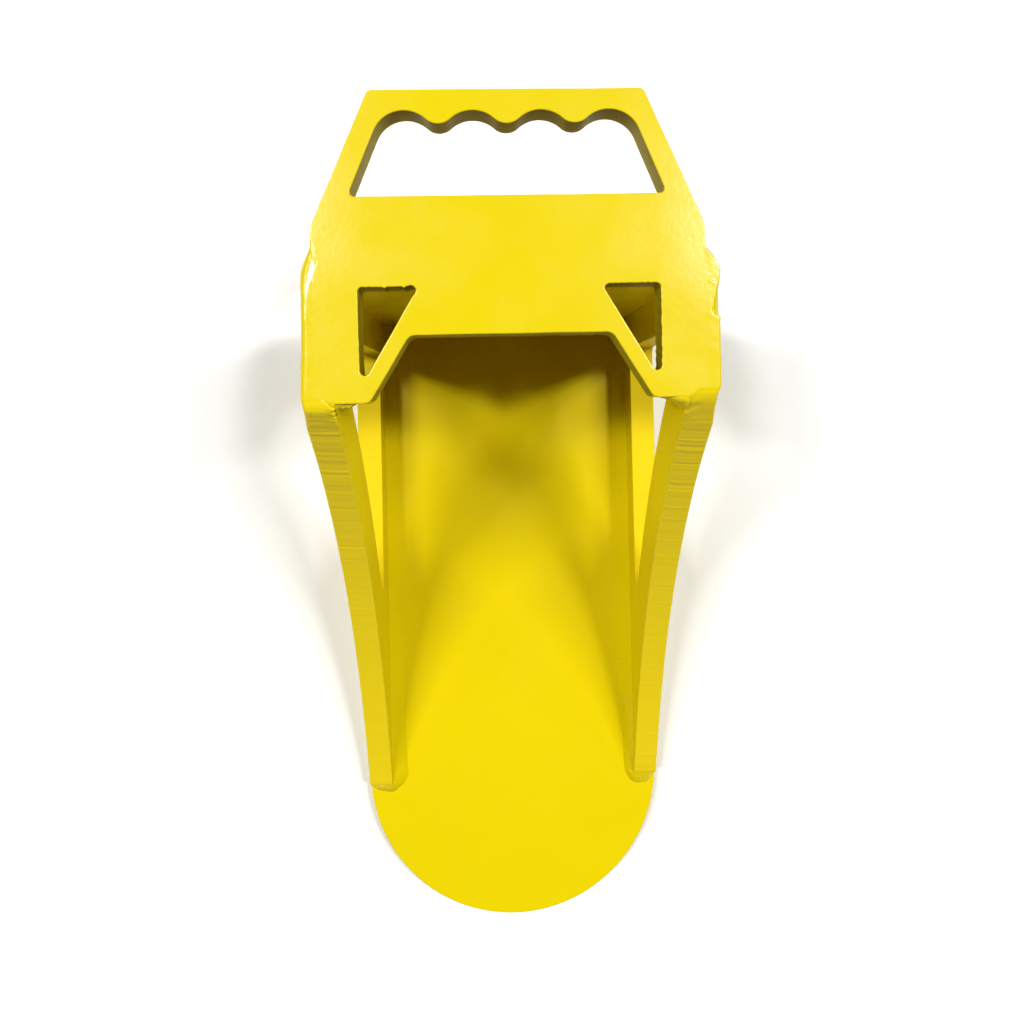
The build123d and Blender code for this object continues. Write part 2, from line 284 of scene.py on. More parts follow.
def cut_plate(name, node, axis, pitch, material, radius, grooves, plan=None, soften=0.9, wall_rows=7, reshape=None, cut=None,
              painted_shade_coat=None, inside=None):
    """A flame-cut plate with the CAD node's outlines: rounded painted edges and grooved cut faces.

    radius(k, q, nrm) gives the low and the high edge's radius at each point of outline k,
    grooves(k, s, q, nrm, f) the cut face's relief, f from 0 at its low edge to 1 at its high one,
    plan(k, s, q, nrm) how far the outline strays from its nominal line, and reshape(k, corners)
    an outline's corners, where a weld hides a changed one. inside(k, q) says where the cut face takes
    the darker paint, which is painted shade for the recesses inside the plate."""
    loops, w0, w1 = outlines(node, axis)
    verts, normals, faces, rings, uses = [], [], [], [], []
    base = 0
    quarter = np.linspace(0, math.pi / 2, 5)
    for k, p in enumerate(loops):
        if reshape is not None:
            p = reshape(k, p)
        q, s, total = resample(p, pitch, soften)
        nrm = outward(q)
        if plan is not None:
            q = q + nrm * plan(k, s, q, nrm)[:, None]
            nrm = outward(q)
        r0, r1 = radius(k, q, nrm)
        m = len(q)
        d, w = [], []
        for a in quarter:
            d.append(r0 * (1 - math.sin(a)))
            w.append(w0 + r0 * (1 - math.cos(a)))
        for f in np.linspace(0, 1, wall_rows + 2)[1:-1]:
            d.append(np.zeros(m))
            w.append(w0 + r0 + (w1 - w0 - r0 - r1) * f)
        for a in quarter[::-1]:
            d.append(r1 * (1 - math.sin(a)))
            w.append(w1 - r1 * (1 - math.cos(a)))
        d, w = np.array(d).T, np.array(w).T
        f = (w - w0) / (w1 - w0)
        relief = grooves(k, s, q, nrm, f) * (1 - d / np.maximum(np.maximum(r0, r1), 1e-6)[:, None])
        uv = q[:, None, :] - nrm[:, None, :] * (d - relief)[..., None]
        g = to_world(uv, w, axis)
        rows = g.shape[1]
        across = np.roll(g, -1, 0) - np.roll(g, 1, 0)
        up = np.gradient(g, axis=1)
        n = np.cross(across, up)
        flat = np.zeros(3)
        flat[axis] = 1.0
        n[:, 0] = -flat
        n[:, -1] = flat
        verts.append(g.reshape(-1, 3))
        normals.append(n.reshape(-1, 3))
        i = np.arange(m)[:, None]
        j = np.arange(rows - 1)[None]
        i1 = (i + 1) % m
        quad = np.stack([base + i * rows + j, base + i1 * rows + j, base + i1 * rows + j + 1, base + i * rows + j + 1], -1)
        faces += quad.reshape(-1, 4).tolist()
        dull = np.zeros((m, rows - 1), int)
        dull[:, 3:rows - 4] = 1
        # painted shade: the cut faces that inside() picks take the third, darker paint
        if painted_shade_coat is not None:
            dull[np.ix_(inside(k, q), np.arange(3, rows - 4))] = 2
        uses += dull.reshape(-1).tolist()
        rings.append((base + np.arange(m) * rows, base + np.arange(m) * rows + rows - 1))
        base += m * rows
    verts, normals = np.vstack(verts), np.vstack(normals)
    a, b = PLANES[axis]
    for which in (0, 1):
        ids = np.concatenate([r[which] for r in rings])
        flat2 = verts[ids][:, [a, b]]
        edges, at = [], 0
        for r in rings:
            m = len(r[which])
            edges += [(at + t, at + (t + 1) % m) for t in range(m)]
            at += m
        co, lines, tris, orig, orig_lines, _ = delaunay_2d_cdt([Vector(c) for c in flat2], edges, [], 0, 1e-7)
        co = np.array([c[:] for c in co])
        walls = {frozenset(e) for e, o in zip(lines, orig_lines) if o}
        tri = solid_triangles(tris, walls)
        back = []
        for v, o in enumerate(orig):
            if o:
                back.append(int(ids[o[0]]))
            else:
                new = np.zeros(3)
                new[a], new[b], new[axis] = co[v][0], co[v][1], (w0, w1)[which]
                back.append(len(verts))
                verts = np.vstack([verts, new])
                nn = np.zeros(3)
                nn[axis] = -1.0 if which == 0 else 1.0
                normals = np.vstack([normals, nn])
        back = np.array(back)
        t = back[tri]
        c = co[tri]
        ccw = np.cross(c[:, 1] - c[:, 0], c[:, 2] - c[:, 0]) > 0
        want = ccw if which == 1 else ~ccw
        t = np.where(want[:, None], t, t[:, ::-1])
        faces += t.tolist()
        uses += [0] * len(t)
    return make(name, verts, faces, normals, material, cut, uses, third=painted_shade_coat)


def sweep(name, rings, shown, material, flip=False, level=0, second=None, dull=None):
    """A closed solid from rows of profile points. The first `shown` points of each profile are its visible skin.
    The first `level` points of each row take an upright normal, to run into a flat plate without a seam."""
    g = np.asarray(rings, float)
    n, m = g.shape[:2]
    skin = g[:, :shown]
    nn = np.zeros_like(g)
    nn[:, :shown] = np.cross(np.gradient(skin, axis=0), np.gradient(skin, axis=1))
    back = g.mean(axis=1, keepdims=True)
    nn[:, shown:] = g[:, shown:] - back
    if flip:
        nn[:, :shown] *= -1
    if level:
        nn[:, :level] = (0, 0, 1)
    faces = []
    for i in range(n - 1):
        for j in range(m):
            j1 = (j + 1) % m
            f = [i * m + j, (i + 1) * m + j, (i + 1) * m + j1, i * m + j1]
            faces.append(f if not flip else f[::-1])
    uses = None
    if second is not None:
        uses = [int(dull[i, j]) if j < shown - 1 else 0 for i in range(n - 1) for j in range(m)] + [0] * (2 * m)
    verts = g.reshape(-1, 3)
    normals = nn.reshape(-1, 3)
    ends = np.array([g[0].mean(axis=0), g[-1].mean(axis=0)])
    verts = np.vstack([verts, ends])
    normals = np.vstack([normals, g[0].mean(axis=0) - g[1].mean(axis=0), g[-1].mean(axis=0) - g[-2].mean(axis=0)])
    a, b = n * m, n * m + 1
    for j in range(m):
        j1 = (j + 1) % m
        f, h = [a, j, j1], [b, (n - 1) * m + j1, (n - 1) * m + j]
        faces += [f, h] if not flip else [f[::-1], h[::-1]]
    return make(name, verts, faces, normals, material, second, uses, caps=2 * m)


def fillet_bead(name, along, corner, leg1, leg2, dir1, dir2, material, bulge=0.35, ripple=0.05, pitch=2.3,
                lean=1.2, seed=1, sink=0.35, flip=False, skin=17, spots=()):
    """A fillet weld. `corner` is the line where the two plates meet, one point per station, `along` the distance
    along it, `leg1` and `leg2` how far the bead reaches up dir1 and along dir2."""
    along = np.asarray(along, float)
    corner = np.asarray(corner, float)
    d1, d2 = np.asarray(dir1, float), np.asarray(dir2, float)
    t = np.linspace(0, 1, skin)
    ease = t
    l1, l2 = np.asarray(leg1)[:, None], np.asarray(leg2)[:, None]
    u = l1 * (1 - ease)[None]        # up dir1
    v = l2 * ease[None]              # along dir2
    hump = np.sin(np.pi * t)[None]
    size = np.sqrt(np.clip(l1 * l2, 0, None))
    phase = along[:, None] / pitch + lean * (hump - 1) * 0.35 + 0.25 * rough(along[:, None], 9, seed + 3)
    saw = (phase % 1.0)
    crest = np.where(saw < 0.75, saw / 0.75, (1 - saw) / 0.25) - 0.5
    swell = bulge * size / 6 * hump ** 0.8 + ripple * crest * hump ** 0.7 * np.clip(size / 4, 0, 1)
    swell = swell + 0.10 * rough2(along[:, None] + 0 * t, 6 * t[None] + 0 * along[:, None], 3.1, seed) * hump * np.clip(size / 5, 0, 1)
    if len(spots):
        swell = swell + scar(corner[:, 1], t, spots)
    u = u + swell * 0.707
    v = v + swell * 0.707
    skin_pts = corner[:, None, :] + u[..., None] * d1 + v[..., None] * d2
    a = corner + (l1 * 0.98) * d1 - sink * d2
    b = corner + (l2 * 0.98) * d2 - sink * d1
    c = corner - sink * d1 - sink * d2
    first = corner[:, None, :] + (l1[..., None] * 1.02) * d1 - (0.12) * d2
    last = corner[:, None, :] + (l2[..., None] * 1.02) * d2 - (0.12) * d1
    skin_pts = np.concatenate([first, skin_pts[:, 1:-1], last], axis=1)
    rings = np.concatenate([skin_pts, b[:, None], c[:, None], a[:, None]], axis=1)
    return sweep(name, rings, skin_pts.shape[1], material, flip)


# ------------------------------------------------------------------ paint
def painted(name, colour, rough_lo, rough_hi, peel, wave, shine=0.5):
    m = bpy.data.materials.new(name)
    m.use_nodes = True
    nt = m.node_tree
    b = nt.nodes["Principled BSDF"]
    new, link = nt.nodes.new, nt.links.new
    tc = new("ShaderNodeTexCoord")

    def noise(scale, detail, rough_=0.5):
        n = new("ShaderNodeTexNoise")
        n.inputs["Scale"].default_value = scale
        n.inputs["Detail"].default_value = detail
        n.inputs["Roughness"].default_value = rough_
        link(tc.outputs["Object"], n.inputs["Vector"])
        return n

    cloud = noise(18, 3)
    ramp = new("ShaderNodeMix")
    ramp.data_type = "RGBA"
    ramp.inputs["A"].default_value = (*[c * 0.975 for c in colour], 1)
    ramp.inputs["B"].default_value = (*[min(1.0, c * 1.02) for c in colour], 1)
    link(cloud.outputs["Fac"], ramp.inputs["Factor"])
    link(ramp.outputs["Result"], b.inputs["Base Color"])
    sheen = noise(60, 4)
    mr = new("ShaderNodeMapRange")
    mr.inputs["From Min"].default_value = 0.3
    mr.inputs["From Max"].default_value = 0.7
    mr.inputs["To Min"].default_value = rough_lo
    mr.inputs["To Max"].default_value = rough_hi
    link(sheen.outputs["Fac"], mr.inputs["Value"])
    link(mr.outputs["Result"], b.inputs["Roughness"])
    b.inputs["IOR"].default_value = 1.5
    b.inputs["Specular IOR Level"].default_value = shine
    orange = noise(700, 2, 0.4)
    bump = new("ShaderNodeBump")
    bump.inputs["Strength"].default_value = peel
    bump.inputs["Distance"].default_value = 0.0002
    link(orange.outputs["Fac"], bump.inputs["Height"])
    waves = noise(70, 2, 0.5)
    bump2 = new("ShaderNodeBump")
    bump2.inputs["Strength"].default_value = wave
    bump2.inputs["Distance"].default_value = 0.001
    link(waves.outputs["Fac"], bump2.inputs["Height"])
    link(bump.outputs["Normal"], bump2.inputs["Normal"])
    link(bump2.outputs["Normal"], b.inputs["Normal"])
    return m


YELLOW = (0.71, 0.555, 0.0015)
paint = painted("yellow_gloss_paint", YELLOW, 0.15, 0.22, 0.10, 0.04)
weld_paint = painted("yellow_gloss_paint_on_weld", YELLOW, 0.14, 0.20, 0.12, 0.06)
cut_paint = painted("yellow_paint_on_cut_edge", (0.765, 0.575, 0.009), 0.36, 0.48, 0.10, 0.04, 0.03)
# painted shade: a darker copy of the paint for the narrow cut faces inside the top plate (slot, windows and front
# notch), darkening these recesses as if in deeper shade than these lights give; its colour was fitted to the photo
# under these lights; darker paint for the narrow cut faces inside the top plate: fitted to the photo under these
# lights, cause not known
painted_shade_paint = painted("yellow_paint_darkened_as_painted_shade_on_inner_cut", (0.31, 0.24, 0.006), 0.42, 0.55, 0.10, 0.04, 0.03)


# ------------------------------------------------------------------ plates
def cut_lines(s, f, seed, depth=1.0, drag=1.3):
    """Relief of a flame-cut face: fine drag lines, curved backwards, with an odd deeper one."""
    ss = s[:, None] + drag * (1 - f) ** 2
    fine = 0.018 * rough(ss, 0.62, seed) + 0.016 * rough(ss, 1.45, seed + 1)
    deep = rough(ss, 1.1, seed + 2)
    deep = -0.09 * np.clip(deep - 0.62, 0, 1) / 0.38 * (0.4 + 0.6 * step(rough(ss, 14, seed + 5), -0.3, 0.5))
    broad = 0.05 * rough(s[:, None], 11, seed + 3) + 0.02 * rough2(s[:, None] + 0 * f, 30 * f, 4.0, seed + 4)
    return depth * (fine + deep) + broad


def near(a, b, tol):
    return np.abs(a - b) < tol


# toe plate
def toe_radius(k, q, nrm):
    return np.full(len(q), 0.7), np.full(len(q), 0.6)


toe = cut_plate("toe_plate_painted", "toe_plate", 2, 0.5, paint, toe_radius,
                lambda k, s, q, nrm, f: cut_lines(s, f, 11, 0.8), cut=cut_paint)
stand_in(toe, "toe_plate")

short_nose = 1.1
# side plates: the noses and front edges are grooved hardest near the top
for side, node in ((-1, "left_side_plate"), (1, "right_side_plate")):
    def side_radius(k, q, nrm):
        m = len(q)
        r = np.full(m, 0.45)
        return r, r.copy()

    def side_grooves(k, s, q, nrm, f, side=side):
        up = step(q[:, 1], toe_z + 10, arm_z - 10)[:, None]
        ss = s[:, None] + 1.3 * (1 - f) ** 2
        coarse = 0.06 * rough(ss, 1.25, 50 + side) + 0.03 * rough(ss, 3.2, 54 + side)
        notch = rough(ss, 1.7, 58 + side)
        coarse = coarse - 0.30 * np.clip(notch - 0.55, 0, 1) / 0.45 * (0.6 + 0.4 * rough(f * 6 + 0 * ss, 2.0, 59))
        return cut_lines(s, f, 40 + side + 7 * k, 1.0 + 2.2 * up) + coarse * up ** 2 * (k == 0) * (1.7 if side < 0 else 1.0)

    def side_reshape(k, p, side=side):
        # the right plate was cut a little shorter at the nose
        return p if side < 0 else np.stack([np.maximum(p[:, 0], nose_y + short_nose), p[:, 1]], 1)

    o = cut_plate(node + "_painted", node, 0, 0.4, paint, side_radius, side_grooves, reshape=side_reshape, cut=cut_paint)
    stand_in(o, node)

# back plate
o = cut_plate("back_plate_painted", "back_plate", 1, 0.8, paint,
              lambda k, q, nrm: (np.full(len(q), 0.3), np.full(len(q), 0.3)),
              lambda k, s, q, nrm, f: 0.0 * f)
stand_in(o, "back_plate")


# top plate
front_cut = {-1: 1.5, 1: 2.5}       # how far the front corner welds run on over the plate
slant_x = edge_x - 3.0      # inside this they stop along a slanted line


def top_reshape(k, p):
    """The plate's own corners stop short under the front corner welds."""
    if k:
        return p
    out = []
    for x, y in p:
        if abs(abs(x) - edge_x) < 0.2 and abs(y - tab_y) < 0.2:
            g = math.copysign(1.0, x)
            far = tab_y + front_cut[int(g)]
            new = [(g * (inner_x - 0.2), tab_y), (g * slant_x, far), (g * edge_x, far)]
            out += new if x > 0 else new[::-1]
        else:
            out.append((x, y))
    return np.array(out)


def top_radius(k, q, nrm):
    m = len(q)
    r1 = np.full(m, 0.42)
    r0 = np.full(m, 0.5)
    if k == 0:
        # sharp where a weld fills up against the edge
        seam = (np.abs(np.abs(q[:, 0]) - edge_x) < 0.4) & (q[:, 1] < rear_y + 0.5)
        front = (q[:, 1] < tab_y + np.where(q[:, 0] > 0, front_cut[1], front_cut[-1]) + 0.4) & (np.abs(q[:, 0]) > inner_x + 0.1)
        hide = (seam | front).astype(float)
        k9 = np.ones(7) / 7
        pad = np.concatenate([hide[-3:], hide, hide[:3]])
        hide = np.convolve(pad, k9, "valid")
        r1 = r1 * (1 - hide) + 0.03 * hide
        r0 = r0 * (1 - hide) + 0.03 * hide
        # a soft worn edge where the left weld's rear end sits lower
        worn = bell(q[:, 1], rear_y - 4.8, 6.0) * (q[:, 0] < -edge_x + 0.4)
        r1 = r1 + 1.5 * worn
    return r0, r1


def top_plan(k, s, q, nrm):
    out = 0.03 * rough(s, 7, 70 + k)
    if k >= 2:
        # triangular windows: a wandering cut along the rear edge, and a pierced corner on the left one
        lo_q, hi_q = q.min(axis=0), q.max(axis=0)
        rear = step(q[:, 1], hi_q[1] - 1.2, hi_q[1] - 0.3)
        out = out - rear * (0.02 + 0.07 * rough(s, 0.9, 91 + k) + 0.08 * rough(s, 3.4, 95 + k))
        out = out - 0.12 * (1 - rear)
        if q[:, 0].mean() < 0:
            spot = np.hypot(q[:, 0] - (hi_q[0] - 0.9), q[:, 1] - (hi_q[1] - 0.9))
            out = out - 0.55 * np.exp(-(spot / 1.3) ** 2)
            nib = np.hypot(q[:, 0] - (hi_q[0] - 2.3), q[:, 1] - (hi_q[1] - 3.0))
            out = out + 0.5 * np.exp(-(nib / 0.55) ** 2)
            for nx in (hi_q[0] - 3.1, hi_q[0] - 8.9):
                nib = np.hypot(q[:, 0] - nx, q[:, 1] - hi_q[1])
                out = out + 0.4 * np.exp(-(nib / 0.5) ** 2)
    return out


def top_grooves(k, s, q, nrm, f):
    if k == 0:
        return cut_lines(s, f, 60, 0.9)
    if k == 1:
        return cut_lines(s, f, 61, 0.45)
    # the windows' outer walls are torn, more so toward the tip
    tip = 1 - step(q[:, 1], q[:, 1].min() + 4, q[:, 1].max() - 6)
    torn = (np.abs(nrm[:, 0]) > 0.9) * (0.7 + 0.7 * tip) * (1.0 if q[:, 0].mean() > 0 else 0.35)
    return cut_lines(s, f, 60 + k, 0.8) + (0.10 * torn)[:, None] * (
        rough(s[:, None] + 0.8 * (1 - f), 0.85, 77 + k) + 0.7 * rough2(s[:, None] + 0 * f, 10 * f, 0.9, 78 + k))


def top_inside(k, q):
    """The slot, the two windows and the front notch, whose cut faces take the darker paint: painted shade."""
    notch = (q[:, 1] > tab_y + 0.6) & (q[:, 1] < rear_y - 20) & (np.abs(q[:, 0]) < inner_x - 5)
    return notch if k == 0 else np.ones(len(q), bool)


# painted shade on the cut faces of the slot, windows and notch, through the darker paint
o = cut_plate("top_plate_painted", "top_plate", 2, 0.4, paint, top_radius, top_grooves, top_plan, soften=0.45,
              reshape=top_reshape, cut=cut_paint, painted_shade_coat=painted_shade_paint, inside=top_inside)
stand_in(o, "top_plate")

# ------------------------------------------------------------------ welds on the toe plate
def scar(along, t, spots):
    """Small bumps and dents at given places on a bead: (distance along, place across 0 to 1, radius, height)."""
    out = 0.0
    for c, p, r, h in spots:
        d = np.hypot(along[:, None] - c, (t[None] - p) * 7.0)
        out = out + h * np.exp(-(d / r) ** 2)
    return out


for side, word in ((-1, "left"), (1, "right")):
    y = np.arange(nose_y - 2.4, back_lo[1] + 0.4, 0.4)
    go = np.sqrt(np.clip(1 - np.clip((nose_y + 5.5 - y) / 8.0, 0, 1) ** 2, 0.004, 1))
    if side < 0:
        leg = 5.6 + 0.9 * (1 - step(y, nose_y + 5, nose_y + 24))
        spots = [(-0.6 + nose_y * 0, 0.0, 0.01, 0.0), (-4.6, 0.93, 0.55, 0.45)]
    else:
        leg = 5.7 - 1.9 * (1 - step(y, nose_y + 24, nose_y + 40))
        spots = [(-49.0, 0.86, 0.6, 0.55), (-50.2, 0.8, 0.5, -0.25), (-48.6, 0.55, 0.8, 0.12), (-48.6, 0.3, 0.8, 0.12)]
    wide = leg * (1 + 0.035 * rough(y, 13, 3 + side) + 0.02 * rough(y, 4, 5 + side)) * go
    tall = 5.4 * (1 + 0.04 * rough(y, 11, 8 + side)) * np.sqrt(go) * (0.62 + 0.38 * step(y, nose_y - 2, nose_y + 14))
    corner = np.stack([np.full_like(y, side * inner_x), y, np.full_like(y, toe_z)], 1)
    o = fillet_bead(f"toe_fillet_{word}_bead", y, corner, tall, wide, (0, 0, 1), (-side, 0, 0), weld_paint,
                    bulge=0.30, ripple=0.035, pitch=2.4, seed=21 + side, flip=side < 0, spots=spots)
    stand_in(o, "toe_fillet_weld_" + word)

    # the bead across the nose, running into the end of the fillet
    x = np.arange(inner_x - (2.6 if side < 0 else 2.3), outer_x - 1.2, 0.2)
    t = (x - x[0]) / (x[-1] - x[0])
    lens = np.sqrt(np.clip(1 - np.abs(2 * t - 1.0) ** 2.8, 0.004, 1))
    lean = 1.2 * (0.5 - t) if side < 0 else 0.3 * (0.5 - t)
    tip_y = nose_y if side < 0 else nose_y + short_nose
    reach = ((3.9 if side < 0 else 5.5) + lean) * lens * (1 + 0.04 * rough(x, 2.5, 31 + side))
    high = (3.5 + 0.2 * rough(x, 3, 33 + side)) * np.sqrt(lens)
    back = np.clip(inner_x + 0.3 - x, 0, 3) * (0.9 if side < 0 else 0.25)
    corner = np.stack([side * x, tip_y + back, np.full_like(x, toe_z)], 1)
    o = fillet_bead(f"toe_end_{word}_bead", x, corner, high, reach + back, (0, 0, 1), (0, -1, 0), weld_paint,
                    bulge=0.42, ripple=0.12, pitch=2.1, seed=41 + side, flip=side > 0)
    stand_in(o, "toe_end_weld_" + word)

# ------------------------------------------------------------------ welds along the top plate's sides
def line(v, pts):
    """Straight runs through (v, value) points, corners eased."""
    p = np.array(pts, float)
    w = np.asarray(v, float)
    return (np.interp(w - 0.35, p[:, 0], p[:, 1]) + np.interp(w, p[:, 0], p[:, 1]) + np.interp(w + 0.35, p[:, 0], p[:, 1])) / 3


for side, word in ((-1, "left"), (1, "right")):
    y = np.arange(tab_y + front_cut[side] + 0.2, rear_y + 2.4, 0.3)
    b = rear_y - y            # distance in front of the frame's rear face
    if side < 0:
        out = line(-b, [(-47, 0), (-38, -0.2), (-27, -0.4), (-12, -0.55), (-8.9, -0.5), (-6.7, -0.5), (-4.1, -1.1),
                        (-1.44, -2.2), (0.75, -3.3), (1.9, -3.8), (4, -4.2)]) + outer_x
        out = out + 0.04 * rough(y, 6, 51) + 0.03 * rough(y, 2.4, 52)
        dressed = bell(b, 4.8, 6.0)
        wide = 2.0 + 0.3 * rough(y, 9, 53) + 0.12 * rough(y, 2.7, 57) + 2.5 * dressed
        drop = 1.8 + 0.3 * rough(y, 12, 55) + 0.9 * dressed
        power = 2.0 + 0 * y
        sink = 0.0 * y
        spots = []
    else:
        out = line(-b, [(-47, 0), (-40, 0.15), (-23, 0.25), (-22.3, 0.6), (-21.6, 0.35), (-21, 0.25), (-17.1, 0.1), (-13.8, -0.05),
                        (-9.9, 0.65), (-7.2, 0.9), (-5.7, 0.7), (-2.85, -0.5), (-1.1, -1.8), (-0.5, -2.6),
                        (0.4, -3.5), (2, -4.4)]) + outer_x
        out = out + 0.05 * rough(y, 5, 61)
        wide = line(-b, [(-47, 0.8), (-22.5, 0.8), (-22.0, 1.2), (-21.2, 2.5), (-19.9, 2.9), (-16.6, 1.9), (-13.6, 1.1),
                         (-9.8, 0.8), (-7.6, 0.7), (-5.5, 1.0), (-3.5, 1.9), (-1.6, 2.3), (-0.4, 2.3), (3, 2.0)])
        drop = line(-b, [(-47, 0.8), (-22.5, 0.8), (-21.6, 1.9), (-19.9, 2.6), (-16.6, 2.2), (-13.6, 1.6), (-9.8, 1.5),
                         (-7.6, 1.8), (-5.5, 2.4), (-3.5, 3.0), (3, 3.2)]) + 0.1 * rough(y, 9, 65)
        power = 2.0 - 0.5 * step(b, 14, 17) * (1 - step(b, 21.2, 22.4)) - 0.75 * (1 - step(b, 4.5, 7))
        sink, dressed = 0.0 * y, 0.0 * y
        spots = [(rear_y - 8.9, edge_x + 0.5, 0.34), (rear_y - 11.0, edge_x + 1.35, 0.42)]
    flat = [-0.8, -0.7, -0.35, 0.0]
    rings = []
    for i in range(len(y)):
        x1, w, d, n = out[i], max(wide[i], 0.35), max(drop[i], 0.35), power[i]
        xf = max(x1 - w, edge_x - 0.5 - 1.9 * dressed[i])
        xin = min(edge_x - 0.8, xf - 0.4)
        w = max(x1 - xf, 0.05)
        z0 = top_z + 0.012 - sink[i]
        pts = [(xin, top_z - 0.03 - sink[i])]
        for f in (0.02, 0.2, 0.4, 0.6, 0.8, 0.93):
            pts.append((xin + (xf - xin) * f, z0))
        for a in np.linspace(0, math.pi / 2, 13):
            pts.append((xf + w * math.sin(a) ** (2 / n), z0 - d * (1 - math.cos(a) ** (2 / n))))
        low = arm_z - 0.3
        for z in np.linspace(z0 - d, low, 6)[1:]:
            pts.append((x1, z))
        skin = len(pts)
        pts += [(x1 - 0.4, low - 0.2), (edge_x - 0.8, low - 0.2)]
        rings.append([(side * px, y[i], pz) for px, pz in pts])
    g = np.array(rings)
    # weld surface, ground flat on top, left as it froze on the outside
    m = g.shape[1]
    fade = np.zeros(m)
    fade[9:skin - 1] = np.linspace(0, 1, skin - 10) ** 0.5
    bump = 0.07 * rough2(g[:, :, 1], g[:, :, 2] + np.abs(g[:, :, 0]), 1.9, 66 + side) + 0.03 * rough2(g[:, :, 1], g[:, :, 2], 0.8, 67 + side)
    g[:, :, 0] += side * bump * fade
    wave = 0.02 * rough2(g[:, :, 1], np.abs(g[:, :, 0]), 2.6, 68 + side)
    inner = np.zeros(m)
    inner[3:14] = np.array([0.3, 0.7, 1, 1, 1, 1, 1, 0.8, 0.6, 0.4, 0.2])
    g[:, :, 2] += wave * inner
    for cy, cx, r in spots:
        d = np.hypot(g[:, :, 1] - cy, np.abs(g[:, :, 0]) - cx)
        crater = -0.22 * np.exp(-(d / (0.6 * r)) ** 2) + 0.12 * np.exp(-((d - r) / (0.35 * r)) ** 2)
        crater[:, skin:] = 0
        g[:, :, 2] += crater
    o = sweep(f"top_side_{word}_bead", g, skin, weld_paint, flip=side > 0, level=3)
    stand_in(o, "top_side_weld_" + word)

